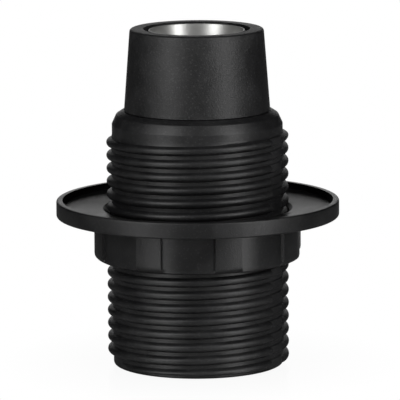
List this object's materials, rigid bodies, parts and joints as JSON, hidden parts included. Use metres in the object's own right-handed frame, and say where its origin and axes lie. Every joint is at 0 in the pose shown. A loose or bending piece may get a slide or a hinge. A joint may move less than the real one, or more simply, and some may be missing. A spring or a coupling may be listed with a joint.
{
  "type": "lamp holder",
  "caption": "Small screw-base lamp holder with a threaded black barrel, a loose shade ring on it, and a conical cap with a metal cable entry.",
  "frame": {"origin": "centre of the mouth's end face, which it stands on", "axes": "+Z from the lamp's mouth to the cable entry; +X across the two terminals, towards neutral"},
  "size_m": [0.0432, 0.0432, 0.0517],
  "materials": {
    "barrel": "moulded black thermoplastic, satin",
    "cap": "moulded black thermoplastic, fine spark-eroded satin",
    "shade_ring": "moulded black thermoplastic, semi-gloss",
    "bush_metal": "turned and polished, nickel plated",
    "block": "moulded black thermoplastic, heat-resistant grade",
    "shell_metal": "nickel-plated brass sheet, rolled",
    "contact_metal": "spring bronze strip",
    "terminal_brass": "punched brass, as cut",
    "clamp_steel": "zinc-plated steel"
  },
  "bodies": {
    "holder": {"barrel": "barrel", "cap": "cap", "entry_bush": "bush_metal", "contact_block": "block", "screw_shell": "shell_metal", "neutral_terminal": "terminal_brass", "live_terminal": "terminal_brass", "neutral_clamp_plate": "clamp_steel", "neutral_clamp_screw": "clamp_steel", "live_clamp_plate": "clamp_steel", "live_clamp_screw": "clamp_steel", "shell_rivet": "terminal_brass"},
    "ring": {"shade_ring": "shade_ring"},
    "contact": {"centre_contact": "contact_metal"}
  },
  "joints": [
    {"name": "ring_travel", "type": "slide", "parent": "holder", "child": "ring", "axis": [0, 0, 1], "range_m": [-0.016, 0.012]},
    {"name": "contact_press", "type": "hinge", "parent": "holder", "child": "contact", "pos_m": [-0.0034, 0, 0.02485], "axis": [0, -1, 0], "range_deg": [0, 9], "stiffness_Nm_per_rad": 0.11}
  ]
}
